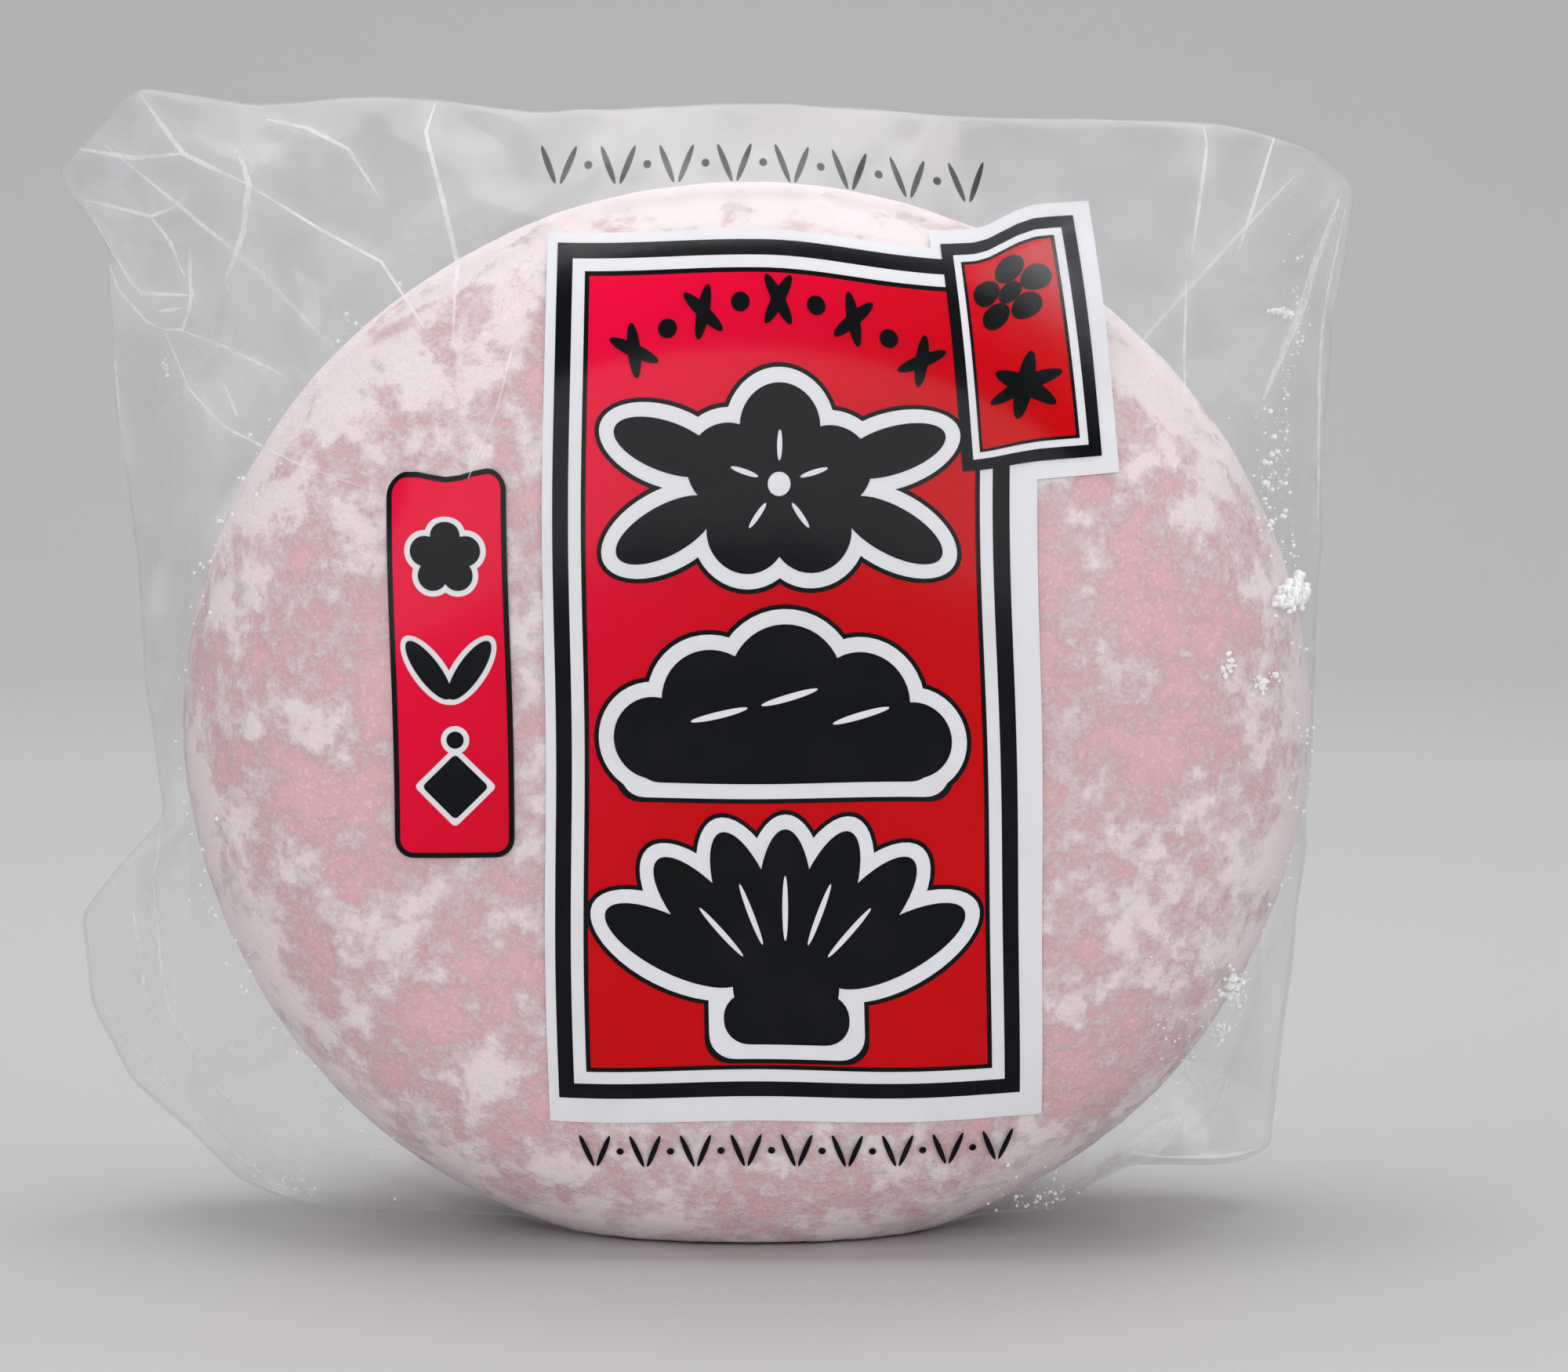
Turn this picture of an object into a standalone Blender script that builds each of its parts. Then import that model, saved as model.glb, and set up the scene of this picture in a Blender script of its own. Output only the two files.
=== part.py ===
"""A round mochi rice cake sealed in a clear printed film wrap, standing on its flattened rim.

Metres, +Z up, the printed front towards -Y. The origin is on the surface that the cake stands on,
under the middle of the wrap's box. The sealed wrap and the cake in it are one closed solid.
"""

import math

import bmesh
import bpy
from mathutils import Vector

MM = 0.001

# The cake: a thick disc on its rim, which has settled into a flat foot.
CAKE_WIDTH = 75.0 * MM
CAKE_HEIGHT = 69.5 * MM
CAKE_THICKNESS = 25.0 * MM
CAKE_CENTRE_X = 2.5 * MM  # the wrap reaches further out on the left than on the right
FOOT_DEPTH = 2.5 * MM  # how much of the round rim the foot has flattened away
RIM_SQUARENESS = 5.0  # higher gives flatter faces and a tighter rim

HALF_WIDTH = CAKE_WIDTH / 2
HALF_HEIGHT = (CAKE_HEIGHT + FOOT_DEPTH) / 2
HALF_THICKNESS = CAKE_THICKNESS / 2
CAKE_CENTRE_Z = CAKE_HEIGHT - HALF_HEIGHT

# The film: it lies on the cake's faces and runs straight from the rim to its own folded edge.
FILM_GAP = 0.3 * MM  # the film stands this far off the cake
EDGE_HALF_THICKNESS = 0.3 * MM  # two plies and their fold, at the wrap's outer edge
SHEET_CELLS = 46  # grid cells along each side of the front and the back sheet
SPAN_SAMPLES = 90  # steps in which a span of film looks for the point where it leaves the cake

# The wrap's outer edge, side by side, anticlockwise from below left as the front shows it. Each
# point is its X, its Z and how far the folded-back ends pull it behind the cake's middle, in mm.
# The side below runs along the flat foot, and every crumpled corner stands clear of the ground.
BOTTOM_EDGE = [
    (-38.9, 8.8, 3.0), (-31.6, 2.5, 1.5), (-27.1, 0.9, 0.5), (-11.2, 0.0, 0.0),
    (16.2, 0.0, 0.0), (23.3, 0.5, 0.5), (27.9, 3.2, 1.5), (35.8, 3.4, 2.5),
]
RIGHT_EDGE = [(38.2, 4.4, 3.5), (40.6, 24.4, 5.0), (41.7, 59.9, 4.5), (42.4, 67.2, 3.5)]
TOP_EDGE = [
    (42.5, 69.1, 3.0), (39.4, 71.3, 2.0), (33.7, 73.0, 1.0), (18.0, 73.4, 0.0), (5.0, 74.3, 0.0),
    (-10.7, 73.6, 0.0), (-18.2, 74.7, 0.5), (-29.0, 74.2, 1.0), (-37.0, 75.5, 1.0),
]
LEFT_EDGE = [
    (-42.5, 70.2, 2.0), (-40.3, 65.0, 3.5), (-40.0, 56.8, 5.0), (-37.6, 26.9, 5.0),
    (-42.5, 20.3, 3.0), (-41.6, 14.0, 3.0),
]

# Ridges where the film is drawn tight from its edge to the cake: X, Z, X, Z and height, in mm.
FRONT_RIDGES = [
    (-18.2, 74.7, -13.5, 58.0, 0.9), (-40.0, 72.0, -25.0, 57.0, 0.6), (33.7, 73.0, 25.5, 56.0, 0.8),
    (42.0, 68.0, 30.5, 50.0, 1.0), (-37.6, 26.9, -30.0, 9.0, 0.9), (25.0, 2.0, 33.0, 9.0, 1.1),
]
BACK_RIDGES = [
    (-38.0, 72.0, -24.0, 57.0, 0.6), (39.0, 70.0, 27.0, 56.0, 0.8),
    (-37.0, 8.0, -26.0, 17.0, 0.8), (36.0, 5.0, 27.0, 15.0, 0.8),
]
RIDGE_HALF_WIDTH = 5.0 * MM
RIDGE_RISE = (-0.15, 0.2)  # where a ridge rises and where it fades, as shares of its length
RIDGE_FADE = (0.55, 1.1)
EDGE_TAPER = (0.9, 1.0)  # ridges and plies taper off over this last share of the way to the edge

# Plies that the folded ends and the back seam lay on the back sheet.
PLY_RELIEF = 0.35 * MM
SEAM_STEP = (3.6 * MM, 5.4 * MM)  # the seam's ply ends this far above and below the middle
FLAP_STEP = (13.5 * MM, 16.5 * MM)  # a folded end's ply ends this far in from the side edge
FLAP_NARROWING = 5.0 * MM  # how much less far it comes in at its corners
FLAP_HALF_HEIGHT = 27.0 * MM

FILM_TINT = (0.90, 0.80, 0.79, 1.0)


def smooth_step(span, value):
    """0 before the span, 1 after it, with a soft rise in between."""
    low, high = span
    share = min(1.0, max(0.0, (value - low) / (high - low)))
    return share * share * (3 - 2 * share)


def cake_radius(angle):
    """From the cake's middle to its round rim, in the XZ plane."""
    return 1 / math.hypot(math.cos(angle) / HALF_WIDTH, math.sin(angle) / HALF_HEIGHT)


def cake_half_thickness(radius, angle):
    """Half the cake's thickness at a distance from its middle."""
    share = min(1.0, radius / cake_radius(angle))
    return HALF_THICKNESS * math.sqrt(1 - share**RIM_SQUARENESS)


def edge_points():
    """The wrap's outer edge: four sides of SHEET_CELLS + 1 points, each from one corner to the next."""
    sides = [BOTTOM_EDGE, RIGHT_EDGE, TOP_EDGE, LEFT_EDGE]
    return [
        resampled([Vector(p) * MM for p in (*side, sides[(i + 1) % 4][0])])
        for i, side in enumerate(sides)
    ]


def resampled(corners):
    """SHEET_CELLS + 1 points spread evenly along a line of corners, with a point on each corner."""
    lengths = [0.0]
    for start, end in zip(corners, corners[1:]):
        lengths.append(lengths[-1] + (end - start).length)
    points = []
    for i in range(SHEET_CELLS + 1):
        along = lengths[-1] * i / SHEET_CELLS
        k = max(j for j in range(len(corners) - 1) if lengths[j] <= along + 1e-9)
        share = (along - lengths[k]) / (lengths[k + 1] - lengths[k])
        points.append(corners[k].lerp(corners[k + 1], min(1.0, share)))
    for corner, length in zip(corners, lengths):
        points[round(SHEET_CELLS * length / lengths[-1])] = corner.copy()
    return points


def film_depth(edge, side, share):
    """How far the film stands from the cake's middle plane, a share of the way out to the edge.

    edge is the point of the wrap's edge that this way leads to. side is -1 for the front and 1 for
    the back. The film lies on the cake as far as its tangent to the edge, and is straight after it.
    """
    out = Vector((edge.x - CAKE_CENTRE_X, edge.y - CAKE_CENTRE_Z))
    angle = math.atan2(out.y, out.x)
    reach = out.length
    foot_half_thickness = cake_half_thickness(reach, angle)
    edge_depth = side * edge.z + max(EDGE_HALF_THICKNESS, foot_half_thickness)
    if share >= 1:
        return edge_depth

    def on_cake(radius):
        return cake_half_thickness(radius, angle) + FILM_GAP

    rim = cake_radius(angle)
    if reach <= rim + FILM_GAP:
        return on_cake(share * reach)
    tries = [rim * k / SPAN_SAMPLES for k in range(SPAN_SAMPLES + 1)]
    leaves_at = max(tries, key=lambda r: (on_cake(r) - edge_depth) / (reach - r))
    if share * reach <= leaves_at:
        return on_cake(share * reach)
    free = (share * reach - leaves_at) / (reach - leaves_at)
    return on_cake(leaves_at) * (1 - free) + edge_depth * free


def ridge_height(x, z, ridges):
    """How far the drawn-tight ridges lift the film here. They fade out at both ends."""
    here = Vector((x, z))
    lift = 0.0
    for x0, z0, x1, z1, height in ridges:
        start = Vector((x0, z0)) * MM
        end = Vector((x1, z1)) * MM
        along = (here - start).dot(end - start) / (end - start).length_squared
        nearest = start.lerp(end, min(1.0, max(0.0, along)))
        off = (here - nearest).length
        fade = smooth_step(RIDGE_RISE, along) * (1 - smooth_step(RIDGE_FADE, along))
        lift = max(lift, height * MM * fade * (1 - smooth_step((0.0, RIDGE_HALF_WIDTH), off)))
    return lift


def ply_height(x, z):
    """The step that the folded ends and the back seam make on the back sheet."""
    from_middle = abs(z - CAKE_CENTRE_Z)
    seam = 1 - smooth_step(SEAM_STEP, from_middle)
    side_edge = LEFT_EDGE[3][0] if x < CAKE_CENTRE_X else RIGHT_EDGE[1][0]
    narrowing = FLAP_NARROWING * (from_middle / FLAP_HALF_HEIGHT) ** 2
    flap = 1 - smooth_step(FLAP_STEP, abs(x - side_edge * MM) + narrowing)
    return PLY_RELIEF * max(seam, flap)


def sheet_point(a, b, sides, side):
    """A point of the front or back sheet. a and b run from -1 to 1 along X and Z."""
    share = max(abs(a), abs(b))
    if share == 0:
        return Vector((CAKE_CENTRE_X, side * (HALF_THICKNESS + FILM_GAP), CAKE_CENTRE_Z))
    if abs(b) >= abs(a):
        number = 0 if b < 0 else 2
        along = (a / share + 1) / 2 if b < 0 else (1 - a / share) / 2
    else:
        number = 1 if a > 0 else 3
        along = (b / share + 1) / 2 if a > 0 else (1 - b / share) / 2
    steps = along * SHEET_CELLS
    low = min(SHEET_CELLS - 1, round(steps - 0.5))
    edge = sides[number][low].lerp(sides[number][low + 1], steps - low)
    x = CAKE_CENTRE_X + share * (edge.x - CAKE_CENTRE_X)
    z = CAKE_CENTRE_Z + share * (edge.y - CAKE_CENTRE_Z)
    if side < 0:
        relief = ridge_height(x, z, FRONT_RIDGES)
    else:
        relief = ridge_height(x, z, BACK_RIDGES) + ply_height(x, z)
    relief *= 1 - smooth_step(EDGE_TAPER, share)
    return Vector((x, side * (film_depth(edge, side, share) + relief), z))


def add_sheet(mesh, sides, side):
    """A square grid of film, drawn out to the wrap's edge and over the cake. Returns its edge loop."""
    made = bmesh.ops.create_grid(mesh, x_segments=SHEET_CELLS, y_segments=SHEET_CELLS, size=1.0)
    outer = []
    for vertex in made["verts"]:
        a, b = vertex.co.x, vertex.co.y
        vertex.co = sheet_point(a, b, sides, side)
        if max(abs(a), abs(b)) > 1 - 0.5 / SHEET_CELLS:
            outer.append((math.atan2(b, a), vertex))
    return [vertex for _, vertex in sorted(outer, key=lambda found: found[0])]


def close_edge(mesh, front, back):
    """The narrow fold that joins both sheets all round, widening under the cake to its flat foot."""
    for i, vertex in enumerate(front):
        after = (i + 1) % len(front)
        mesh.faces.new((vertex, front[after], back[after], back[i]))


def film_material():
    material = bpy.data.materials.new("clear_film_over_pink_cake")
    material.use_nodes = True
    shader = material.node_tree.nodes["Principled BSDF"]
    shader.inputs["Base Color"].default_value = FILM_TINT
    shader.inputs["Roughness"].default_value = 0.35
    return material


def wrapped_cake():
    """The sealed wrap with the cake in it, as one closed solid."""
    sides = edge_points()
    mesh = bmesh.new()
    front = add_sheet(mesh, sides, -1)
    back = add_sheet(mesh, sides, 1)
    close_edge(mesh, front, back)
    bmesh.ops.recalc_face_normals(mesh, faces=mesh.faces)
    data = bpy.data.meshes.new("wrapped_cake")
    mesh.to_mesh(data)
    mesh.free()
    data.shade_smooth()
    data.materials.append(film_material())
    wrap = bpy.data.objects.new("wrapped_cake", data)
    bpy.context.scene.collection.objects.link(wrap)
    return wrap


def main():
    for old in list(bpy.data.objects):
        bpy.data.objects.remove(old)
    wrapped_cake()


main()
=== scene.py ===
"""A round mochi rice cake in its clear printed film wrap: the looks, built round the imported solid."""

import math
import random

import bmesh
import bpy
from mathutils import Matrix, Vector, noise
from mathutils.bvhtree import BVHTree
from mathutils.geometry import delaunay_2d_cdt
from mathutils.kdtree import KDTree


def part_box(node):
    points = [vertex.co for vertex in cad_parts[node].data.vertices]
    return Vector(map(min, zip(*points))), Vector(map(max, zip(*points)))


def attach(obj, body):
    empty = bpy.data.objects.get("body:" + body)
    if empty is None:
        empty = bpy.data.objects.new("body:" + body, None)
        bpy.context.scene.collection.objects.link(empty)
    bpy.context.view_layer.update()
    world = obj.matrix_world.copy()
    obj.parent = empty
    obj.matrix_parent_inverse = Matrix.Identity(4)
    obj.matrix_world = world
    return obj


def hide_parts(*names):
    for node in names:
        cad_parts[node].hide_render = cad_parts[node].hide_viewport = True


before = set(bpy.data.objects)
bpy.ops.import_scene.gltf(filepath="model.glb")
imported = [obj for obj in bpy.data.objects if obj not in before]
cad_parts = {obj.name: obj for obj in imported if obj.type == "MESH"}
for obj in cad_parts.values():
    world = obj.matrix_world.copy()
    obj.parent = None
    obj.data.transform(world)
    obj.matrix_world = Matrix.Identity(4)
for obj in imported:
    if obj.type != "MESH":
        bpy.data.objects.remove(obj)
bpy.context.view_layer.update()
WRAP = "wrapped_cake"
WRAP_LOW, WRAP_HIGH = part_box(WRAP)

MM = 0.001

# The cake, placed from the wrap's box: it stands on the ground and fills the wrap front to back.
CAKE_HALF_WIDTH = 37.5 * MM
CAKE_HALF_HEIGHT = 36.0 * MM
CAKE_HALF_THICKNESS = (WRAP_HIGH.y - WRAP_LOW.y) / 2 - 0.5 * MM
CAKE_CENTRE_X = WRAP_HIGH.x - 40.0 * MM
CAKE_CENTRE_Z = WRAP_LOW.z + 33.5 * MM
CAKE_CENTRE = Vector((CAKE_CENTRE_X, 0.0, CAKE_CENTRE_Z))
RIM_SQUARENESS = 5.0
SECTION_STEPS = 24
CAKE_VOXEL = 0.55 * MM
FOOT_GAP = 0.15 * MM  # the film lies between the cake and the ground


# ---------------------------------------------------------------------------- working by operators


def deselect_all():
    bpy.ops.object.select_all(action="DESELECT")


def activate(piece):
    deselect_all()
    piece.select_set(True)
    bpy.context.view_layer.objects.active = piece


def named(name):
    """The primitive that was just added, under its own name."""
    piece = bpy.context.active_object
    piece.name = name
    piece.data.name = name
    return piece


def new_piece(name, mesh):
    piece = bpy.data.objects.new(name, mesh)
    bpy.context.scene.collection.objects.link(piece)
    return piece


def set_place(piece):
    """Put the piece's place, turn and scale into its mesh."""
    activate(piece)
    bpy.ops.object.transform_apply(location=True, rotation=True, scale=True)


def in_edit_mode(piece, *steps):
    """Run each step on the whole of the piece's mesh in edit mode."""
    activate(piece)
    bpy.ops.object.mode_set(mode="EDIT")
    bpy.ops.mesh.select_all(action="SELECT")
    for step in steps:
        step()
    bpy.ops.object.mode_set(mode="OBJECT")


def select_edges(piece, chosen):
    """In edit mode, select just the edges for which chosen(edge) holds."""
    bpy.ops.mesh.select_mode(type="EDGE")
    bpy.ops.mesh.select_all(action="DESELECT")
    mesh = bmesh.from_edit_mesh(piece.data)
    for edge in mesh.edges:
        if chosen(edge):
            edge.select_set(True)
    bmesh.update_edit_mesh(piece.data)


def finish_with(piece, kind, **settings):
    """Add a modifier with these settings and apply it."""
    activate(piece)
    modifier = piece.modifiers.new(kind.lower(), kind)
    for key, value in settings.items():
        setattr(modifier, key, value)
    bpy.ops.object.modifier_apply(modifier=modifier.name)


def joined(name, pieces):
    """All pieces as one mesh."""
    deselect_all()
    for piece in pieces:
        piece.select_set(True)
    bpy.context.view_layer.objects.active = pieces[0]
    bpy.ops.object.join()
    return named(name)


def smooth_step(low, high, value):
    share = min(1.0, max(0.0, (value - low) / (high - low)))
    return share * share * (3 - 2 * share)


def add_to_object(piece, material, slot):
    piece.data.materials.clear()
    piece.data.materials.append(material)
    piece.data.shade_smooth()
    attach(piece, "root")


# -------------------------------------------------------------------------------- shader building


class Wire:
    """The output of a shader node. Arithmetic on it adds Math nodes."""

    def __init__(self, finish, socket):
        self.finish = finish
        self.socket = socket

    def maths(self, operation, *values):
        return self.finish.node("Math", {"operation": operation}, dict(enumerate(values)))

    def __add__(self, other):
        return self.maths("ADD", self, other)

    def __radd__(self, other):
        return self.maths("ADD", other, self)

    def __sub__(self, other):
        return self.maths("SUBTRACT", self, other)

    def __rsub__(self, other):
        return self.maths("SUBTRACT", other, self)

    def __mul__(self, other):
        return self.maths("MULTIPLY", self, other)

    def __rmul__(self, other):
        return self.maths("MULTIPLY", other, self)

    def __truediv__(self, other):
        return self.maths("DIVIDE", self, other)

    def __pow__(self, other):
        return self.maths("POWER", self, other)

    def at_most(self, other):
        return self.maths("MINIMUM", self, other)

    def at_least(self, other):
        return self.maths("MAXIMUM", self, other)

    def rise(self, low, high):
        """0 below low, 1 above high, with a soft rise in between."""
        settings = {"interpolation_type": "SMOOTHSTEP"}
        return self.finish.node("MapRange", settings, {0: self, 1: low, 2: high, 3: 0.0, 4: 1.0})


class Finish:
    """A material under construction. node() adds any node and returns one of its outputs."""

    def __init__(self, name):
        self.material = bpy.data.materials.new(name)
        self.material.use_nodes = True
        self.tree = self.material.node_tree
        self.tree.nodes.clear()

    def node(self, kind, settings=None, sockets=None, output=0):
        node = self.tree.nodes.new("ShaderNode" + kind)
        for key, value in (settings or {}).items():
            setattr(node, key, value)
        for key, value in (sockets or {}).items():
            if isinstance(value, Wire):
                self.tree.links.new(value.socket, node.inputs[key])
            else:
                node.inputs[key].default_value = value
        return Wire(self, node.outputs[output]) if node.outputs else None

    def place(self):
        """Where the shaded point is, in metres."""
        return self.node("TexCoord", output="Object")

    def noise(self, size, detail, roughness, shift):
        """Soft noise from 0 to 1 whose features are about size metres across."""
        moved = self.node("Mapping", {}, {"Vector": self.place(), "Location": shift})
        sockets = {"Vector": moved, "Scale": 1 / size, "Detail": detail, "Roughness": roughness}
        return self.node("TexNoise", {}, sockets)

    def mix_colour(self, factor, first, second):
        sockets = {0: factor, 6: first, 7: second}
        return self.node("Mix", {"data_type": "RGBA"}, sockets, output=2)

    def mix_shader(self, factor, first, second):
        return self.node("MixShader", {}, {0: factor, 1: first, 2: second})

    def bump(self, height, strength, distance):
        return self.node("Bump", {}, {"Height": height, "Strength": strength, "Distance": distance})

    def done(self, shader):
        self.node("OutputMaterial", {}, {"Surface": shader})
        return self.material


# ---------------------------------------------------------------------------------------- finishes


# Where the dough shows through its dusting most: X, Z and reach of each place, in millimetres.
ROSY_PLACES = [(-26.0, 36.0, 15.0), (29.5, 39.0, 14.0), (28.0, 11.0, 9.0), (-20.0, 16.0, 8.0)]


def mochi_finish():
    """Pink rice dough under a mottled dusting of starch, thicker on the rim."""
    finish = Finish("mochi_dough")
    blotches = finish.noise(4.2 * MM, 2.0, 0.6, (0.031, 0.0, 0.012))
    curds = finish.noise(1.4 * MM, 6.0, 0.78, (0.2, 0.1, 0.4))
    specks = finish.noise(0.28 * MM, 2.0, 0.6, (0.7, 0.2, 0.1))
    x = finish.node("SeparateXYZ", {}, {0: finish.place()}, output=0)
    z = finish.node("SeparateXYZ", {}, {0: finish.place()}, output=2)
    across = (x - CAKE_CENTRE_X) / CAKE_HALF_WIDTH
    up = (z - CAKE_CENTRE_Z) / CAKE_HALF_HEIGHT
    rim = ((across * across + up * up) ** 0.5).rise(0.80, 1.0)
    rosy = 0.0
    for place_x, place_z, reach in ROSY_PLACES:
        off_x = (x - place_x * MM) / (reach * MM)
        off_z = (z - place_z * MM) / (reach * MM)
        rosy = rosy + (1.0 - (off_x * off_x + off_z * off_z)).at_least(0.0)
    dusting = blotches * 0.55 + curds * 0.55 + rim * 0.10 + up * 0.02 - rosy * 0.055
    powder = dusting.rise(0.44, 0.62)
    grains = (specks + powder * 0.12).rise(0.50, 0.75)
    dough = finish.mix_colour(curds, (0.73, 0.42, 0.44, 1), (0.80, 0.51, 0.53, 1))
    dusted = finish.mix_colour(powder, dough, (0.84, 0.72, 0.725, 1))
    colour = finish.mix_colour(grains * 0.4, dusted, (0.89, 0.82, 0.82, 1))
    relief = powder * 0.6 + specks * 0.3 + curds * 0.3
    shader = finish.node(
        "BsdfPrincipled",
        {"subsurface_method": "RANDOM_WALK"},
        {
            "Base Color": colour,
            "Roughness": 0.66 + powder * 0.25,
            "Specular IOR Level": 0.3,
            "Subsurface Weight": 0.08,
            "Subsurface Radius": (1.0, 0.55, 0.5),
            "Subsurface Scale": 1.4 * MM,
            "Normal": finish.bump(relief, 0.7, 0.3 * MM),
        },
    )
    return finish.done(shader)


def film_finish():
    """Thin clear film: glossy where it is tight, with a white haze that slack deepens, varied facet
    by facet as painted shade and raised along the folds as a painted highlight, partly film whitened
    there.
    """
    finish = Finish("clear_film")
    whitening_and_highlight = finish.node("Attribute", {"attribute_name": "whitening_and_highlight"}, output=2)
    slack = finish.node("Attribute", {"attribute_name": "slack"}, output=2)
    cloud = finish.noise(6 * MM, 2.0, 0.5, (0.1, 0.3, 0.2))
    clear = finish.node("BsdfTransparent", {}, {0: (0.985, 0.985, 0.99, 1)})
    gloss = finish.node("BsdfGlossy", {}, {"Roughness": 0.14})
    shine = finish.node("Fresnel", {}, {"IOR": 1.4})
    # The slack attribute also holds painted facet shade, which scales both the gloss here and the haze
    # below; the folds' attribute is a painted highlight along them, partly film whitened at the fold.
    sheet = finish.mix_shader((shine * (0.3 + slack)).at_most(0.22), clear, gloss)
    white = (0.85, 0.86, 0.87, 1)
    lit = finish.node("BsdfDiffuse", {}, {0: white})
    lit_through = finish.node("BsdfTranslucent", {}, {0: white})
    haze = finish.mix_shader(0.5, lit, lit_through)
    amount = 0.004 + slack * (0.11 + cloud.rise(0.3, 0.7) * 0.13) + whitening_and_highlight * 0.13
    return finish.done(finish.mix_shader(amount, sheet, haze))


def fold_whitening_and_highlight_finish():
    """Film stretched white along a fold, with a painted highlight there."""
    finish = Finish("film_fold_whitening_and_highlight")
    streaks = finish.noise(3.0 * MM, 3.0, 0.6, (0.4, 0.3, 0.2))
    clear = finish.node("BsdfTransparent", {}, {0: (0.985, 0.985, 0.99, 1)})
    white = (0.95, 0.95, 0.96, 1)
    lit = finish.node("BsdfDiffuse", {}, {0: white})
    lit_through = finish.node("BsdfTranslucent", {}, {0: white})
    haze = finish.mix_shader(0.4, lit, lit_through)
    return finish.done(finish.mix_shader(0.22 + streaks.rise(0.3, 0.7) * 0.4, clear, haze))


def starch_finish():
    """Dry white powder pressed into grains."""
    finish = Finish("starch")
    grain = finish.noise(0.3 * MM, 3.0, 0.6, (0.2, 0.2, 0.5))
    shader = finish.node(
        "BsdfPrincipled",
        {},
        {
            "Base Color": finish.mix_colour(grain, (0.88, 0.86, 0.86, 1), (0.97, 0.96, 0.96, 1)),
            "Roughness": 0.9,
            "Specular IOR Level": 0.2,
            "Normal": finish.bump(grain, 0.5, 0.06 * MM),
        },
    )
    return finish.done(shader)


def ink_finish(name, colour, worn, roughness, speckle):
    """Ink printed on film: even, with fine specks and cloudy patches where it is thin."""
    finish = Finish(name)
    cloud = finish.noise(6 * MM, 3.0, 0.6, (0.3, 0.3, 0.1))
    specks = finish.noise(0.22 * MM, 2.0, 0.5, (0.1, 0.6, 0.2))
    thin = cloud.rise(0.45, 0.8) * speckle + specks.rise(0.62, 0.8) * speckle
    shader = finish.node(
        "BsdfPrincipled",
        {},
        {
            "Base Color": finish.mix_colour(thin, colour, worn),
            "Roughness": roughness + cloud * 0.15,
            "Specular IOR Level": 0.02,
            "Normal": finish.bump(specks, 0.15, 0.02 * MM),
        },
    )
    return finish.done(shader)


def white_ink():
    return ink_finish("white_ink", (0.80, 0.80, 0.83, 1), (0.72, 0.69, 0.71, 1), 0.45, 0.5)


def black_ink():
    return ink_finish("black_ink", (0.002, 0.003, 0.004, 1), (0.012, 0.012, 0.014, 1), 0.35, 0.6)


def red_ink():
    """Red that turns lighter and towards magenta at the upper left."""
    finish = Finish("red_ink")
    x = finish.node("SeparateXYZ", {}, {0: finish.place()}, output=0)
    z = finish.node("SeparateXYZ", {}, {0: finish.place()}, output=2)
    corner = (z * 0.7 - x - 0.018).rise(0.0, 0.034)
    cloud = finish.noise(7 * MM, 3.0, 0.6, (0.3, 0.3, 0.1))
    specks = finish.noise(0.25 * MM, 2.0, 0.5, (0.1, 0.6, 0.2))
    red = finish.mix_colour(corner, (0.58, 0.0, 0.003, 1), (0.84, 0.0, 0.045, 1))
    colour = finish.mix_colour(specks.rise(0.6, 0.85) * 0.35, red, (0.50, 0.0, 0.003, 1))
    shader = finish.node(
        "BsdfPrincipled",
        {},
        {
            "Base Color": colour,
            "Roughness": 0.38 + cloud * 0.15,
            "Specular IOR Level": 0.02,
            "Normal": finish.bump(specks, 0.15, 0.02 * MM),
        },
    )
    return finish.done(shader)


def stage_finish():
    """Plain pale paper with a faint tooth, the same all over."""
    finish = Finish("pale_paper")
    tooth = finish.noise(0.5 * MM, 2.0, 0.5, (0.1, 0.2, 0.3))
    shader = finish.node(
        "BsdfPrincipled",
        {},
        {
            "Base Color": PAPER_COLOUR,
            "Roughness": 0.75,
            "Specular IOR Level": 0.2,
            "Normal": finish.bump(tooth, 0.1, 0.02 * MM),
        },
    )
    return finish.done(shader)


# ------------------------------------------------------------------------------------------- cake


def cake_section():
    """From the middle of the back face round the rim to the middle of the front face."""
    points = []
    for i in range(SECTION_STEPS):
        turn = math.pi / 2 * i / SECTION_STEPS
        share = math.sin(turn)
        points.append((share, math.sqrt(1 - share**RIM_SQUARENESS)))
    points.append((1.0, 0.0))
    front = [(r, -h) for r, h in reversed(points[:-1])]
    return [
        Vector((r * CAKE_HALF_WIDTH, h * CAKE_HALF_THICKNESS, 0.0)) for r, h in points + front
    ]


def make_cake():
    """The disc is spun from its section, stands on a flat foot, and is given soft lumps."""
    section = cake_section()
    mesh = bpy.data.meshes.new("cake")
    mesh.from_pydata(section, [(i, i + 1) for i in range(len(section) - 1)], [])
    cake = new_piece("cake", mesh)
    in_edit_mode(
        cake,
        lambda: bpy.ops.mesh.spin(steps=120, angle=2 * math.pi, center=(0, 0, 0), axis=(0, 1, 0)),
        lambda: bpy.ops.mesh.select_all(action="SELECT"),
        lambda: bpy.ops.mesh.remove_doubles(threshold=0.01 * MM),
        lambda: bpy.ops.mesh.normals_make_consistent(inside=False),
    )
    cake.scale.z = CAKE_HALF_HEIGHT / CAKE_HALF_WIDTH
    cake.location = CAKE_CENTRE
    set_place(cake)
    finish_with(cake, "REMESH", mode="VOXEL", voxel_size=CAKE_VOXEL)
    add_lumps(cake)
    ground = WRAP_LOW.z + FOOT_GAP
    for vertex in cake.data.vertices:
        vertex.co.z = max(vertex.co.z, ground)
    return cake


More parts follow.
